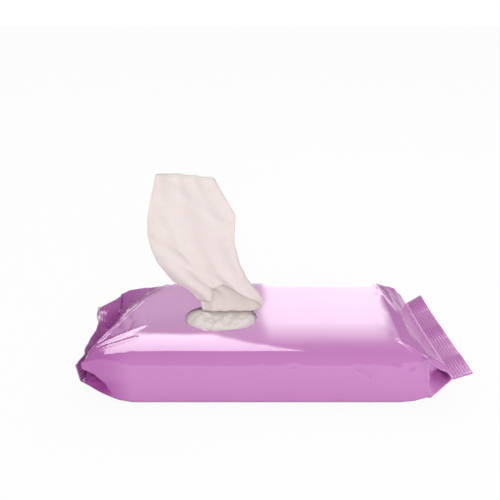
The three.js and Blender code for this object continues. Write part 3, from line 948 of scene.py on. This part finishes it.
def panel(u, share, side):
    pinch = 1 - np.exp(-(((share - PINCH_SHARE) / 0.3) ** 2))
    gap = side * PANEL_GAP / 2 * mix(0.25, 1, pinch) * smooth(share * 8)
    x = mix(along(LEFT_EDGE, share), along(RIGHT_EDGE, share), u)
    wave = gathers(u + share * 0.25) * mix(0.9, 1.5, smooth(share * 3)) * (0.35 + 0.65 * pinch)
    edge = np.sqrt(np.clip(4 * u * (1 - u), 0, 1))
    z = HEIGHT + share * DRAWN_HEIGHT - (u - 0.5) * 4 * smooth(share)
    return np.stack([x, NECK_Y + gap * edge + wave + share * 3, z], axis=-1)


print("top of the rise: %g mm" % (HEIGHT + DRAWN_HEIGHT))


# %% Rows of the first wipe
def lying_rows(u):
    lower_run, bend, _ = folded_profile(1, 16)
    rows = [np.stack([mix(-WIPE_LENGTH / 2, WIPE_LENGTH / 2, u), np.full(len(u), y),
                      np.full(len(u), z)], axis=-1) for y, z in lower_run + bend]
    return settled(np.array(rows)), bend[-1][0]


def fan_rows(u, fold_y):
    rows = []
    for t in np.linspace(0, 1, 26)[1:]:
        x = mix(mix(-WIPE_LENGTH / 2, WIPE_LENGTH / 2, u), mix(NECK_LEFT, NECK_RIGHT, u),
                smooth(t))
        y = np.full(len(u), mix(fold_y, NECK_Y + 2, t))
        rows.append(np.stack([x, y, TOP_LAYER * settle(x, y) + 0.25 * smooth(t)], axis=-1))
    return np.array(rows)


def fall_rows(u):
    arch = along(ARCH, u) + 0.03
    rows = np.array([panel(u, mix(1, arch, t), -1) for t in np.linspace(0, 1, 64)])
    rows[..., 1] -= 1.6
    return rows


# %% First wipe, with its pulled folds
PULLED_FOLDS = [
    ((-75, 0, 92), (-24, -5, 56), 5, 1.6), ((-68, 0, 84), (-30, -5, 58), 3.5, -1.0),
    ((-22, 0, 110), (-14, -3, 62), 4, 1.5), ((-60, 0, 128), (-24, 0, 100), 5, 1.2),
    ((-70, 0, 118), (-45, 0, 70), 5, -1.1), ((-12, 0, 70), (-3, -3, 44), 3, 1.2)]


def drawn_wipe():
    u = np.linspace(0, 1, 90)
    lying, fold_y = lying_rows(u)
    rise = np.array([panel(u, np.full(len(u), share), 1) for share in np.linspace(0, 1, 70)])
    grid = np.concatenate([lying, fan_rows(u, fold_y), rise, fall_rows(u)])
    pull = np.zeros(grid.shape[:2])
    for start, finish, reach, height in PULLED_FOLDS:
        pull += height * np.clip(1 - near_segment(grid, start, finish) / reach, 0, 1)
    slant = (grid[..., 0] * 0.62 + grid[..., 2] * 0.5) / 9.0
    pull += 1.3 * np.sin(slant + 1.2 * ripple_noise(grid, 34.0, 9.0, 2))
    pull += 0.5 * ripple_noise(grid, 16.0, 5.0)
    free = smooth((grid[..., 2] - 42) / 20)
    grid = grid + grid_normals(grid) * (pull * free)[..., None]
    piece = wipe_piece("drawn_wipe_cloth", grid, "drawn_wipe")
    piece.visible_glossy = False
    return piece


first_wipe = drawn_wipe()
print("first wipe faces:", len(first_wipe.data.polygons))


# %% [markdown]
# ## Studio
# A white table stands in a plain, pale room. The table glows towards the camera, so that it
# reads as white, and it keeps a trace of the packet's shadow.

# %% Table
def table():
    mesh = bpy.data.meshes.new("table")
    mesh.from_pydata([(-3, -0.62, 0), (3, -0.62, 0), (3, 6, 0), (-3, 6, 0)], [], [(0, 1, 2, 3)])
    material = bpy.data.materials.new("white table")
    material.use_nodes = True
    tree = material.node_tree
    tree.nodes.remove(tree.nodes["Principled BSDF"])
    matt = tree.nodes.new("ShaderNodeBsdfDiffuse")
    matt.inputs["Color"].default_value = (0.9, 0.9, 0.9, 1)
    glow = tree.nodes.new("ShaderNodeEmission")
    both = tree.nodes.new("ShaderNodeMixShader")
    (new_node(tree, "ShaderNodeLightPath", "Is Camera Ray") * 0.93).feeds(both, 0)
    tree.links.new(matt.outputs[0], both.inputs[1])
    tree.links.new(glow.outputs[0], both.inputs[2])
    tree.links.new(both.outputs[0], tree.nodes["Material Output"].inputs["Surface"])
    mesh.materials.append(material)
    piece = bpy.data.objects.new("white_table", mesh)
    bpy.context.scene.collection.objects.link(piece)
    return piece


white_table = table()
print("table: %.1f x %.1f m" % tuple(white_table.dimensions[:2]))

# %% [markdown]
# ### Room
# The room lights the packet evenly. Only glossy rays see more in it: soft boxes, whose shapes
# show in the film. `turn` is the angle of a ray from level at the front (0), over straight up
# (half of pi) to level at the back (pi). A long box overhead, with a tapered end, makes the
# band along the front shoulder. A wide one behind on the right makes the pale field on the
# top, and the pale back wall fills the slopes.


# %% Room
EVEN_LIGHT = 0.7


def soft_boxes(x, y, turn):
    taper = (x + 0.06).most(0) * 5.0
    overhead = (turn.step(1.60, 1.66) * (1 - (turn + taper).step(2.32, 2.44))
                * (1 - x.step(0.11, 0.15)) * x.step(-0.26, -0.22))
    behind = turn.step(1.95, 2.66) * x.step(0.01, 0.035) * (1 - x.step(0.20, 0.25))
    wall = y.step(0.0, 0.7) * x.step(-0.32, -0.16) * (1 - x.step(0.24, 0.4))
    return 0.16 + wall * 0.8 + overhead * 4.4 + behind * 2.2


def room():
    world = bpy.data.worlds.new("pale room")
    world.use_nodes = True
    bpy.context.scene.world = world
    tree = world.node_tree
    tree.nodes.clear()
    split = tree.nodes.new("ShaderNodeSeparateXYZ")
    new_node(tree, "ShaderNodeTexCoord", "Generated").feeds(split, 0)
    x, y, z = [Field(tree, split.outputs[k]) for k in range(3)]
    seen = soft_boxes(x, y, z.angle_to(y * -1.0))
    glossy = new_node(tree, "ShaderNodeLightPath", "Is Glossy Ray")
    camera = new_node(tree, "ShaderNodeLightPath", "Is Camera Ray")
    level = glossy * seen + (1 - glossy) * EVEN_LIGHT
    back = tree.nodes.new("ShaderNodeBackground")
    back.inputs["Color"].default_value = (1, 1, 1, 1)
    (camera + (1 - camera) * level).feeds(back, "Strength")
    out = tree.nodes.new("ShaderNodeOutputWorld")
    tree.links.new(back.outputs[0], out.inputs["Surface"])
    return tree


room_tree = room()
print("room nodes:", len(room_tree.nodes))


# %% [markdown]
# ### Lamps
# A soft key lamp stands in front on the right and brightens the front. A weaker one hangs over
# the back. Both stay out of the reflections, which the room alone gives.

# %% Lamps
def lamp(name, place, target, size, power):
    light = bpy.data.lights.new(name, "AREA")
    light.shape = "RECTANGLE"
    light.size, light.size_y = size
    light.energy = power
    lamp_object = bpy.data.objects.new(name, light)
    bpy.context.scene.collection.objects.link(lamp_object)
    lamp_object.location = place
    aim = Vector(target) - Vector(place)
    lamp_object.rotation_euler = aim.to_track_quat("-Z", "Y").to_euler()
    lamp_object.visible_glossy = False
    return lamp_object


lamp("key lamp", (0.25, -1.1, 0.45), (0, 0, 0.04), (0.7, 0.7), 5.5)
lamp("top lamp", (0.3, 0.5, 1.0), (0, 0, 0.04), (0.8, 0.6), 2)
print("lamps:", ", ".join(light.name for light in bpy.data.lights))

# %% [markdown]
# ### Camera
# It looks down on the front by 22.5 degrees, from about 43 cm away.

# %% Camera
camera_data = bpy.data.cameras.new("camera")
camera_data.lens = 43.4
camera_data.sensor_width = 36
camera_data.clip_start = 0.01
camera = bpy.data.objects.new("camera", camera_data)
bpy.context.scene.collection.objects.link(camera)
camera.location = (-0.0105, -0.365, 0.237)
camera.rotation_euler = (math.radians(90 - 22.5), 0, 0)
bpy.context.scene.camera = camera
bpy.context.scene.view_settings.view_transform = "Standard"
print("camera: %.1f mm lens" % camera_data.lens)
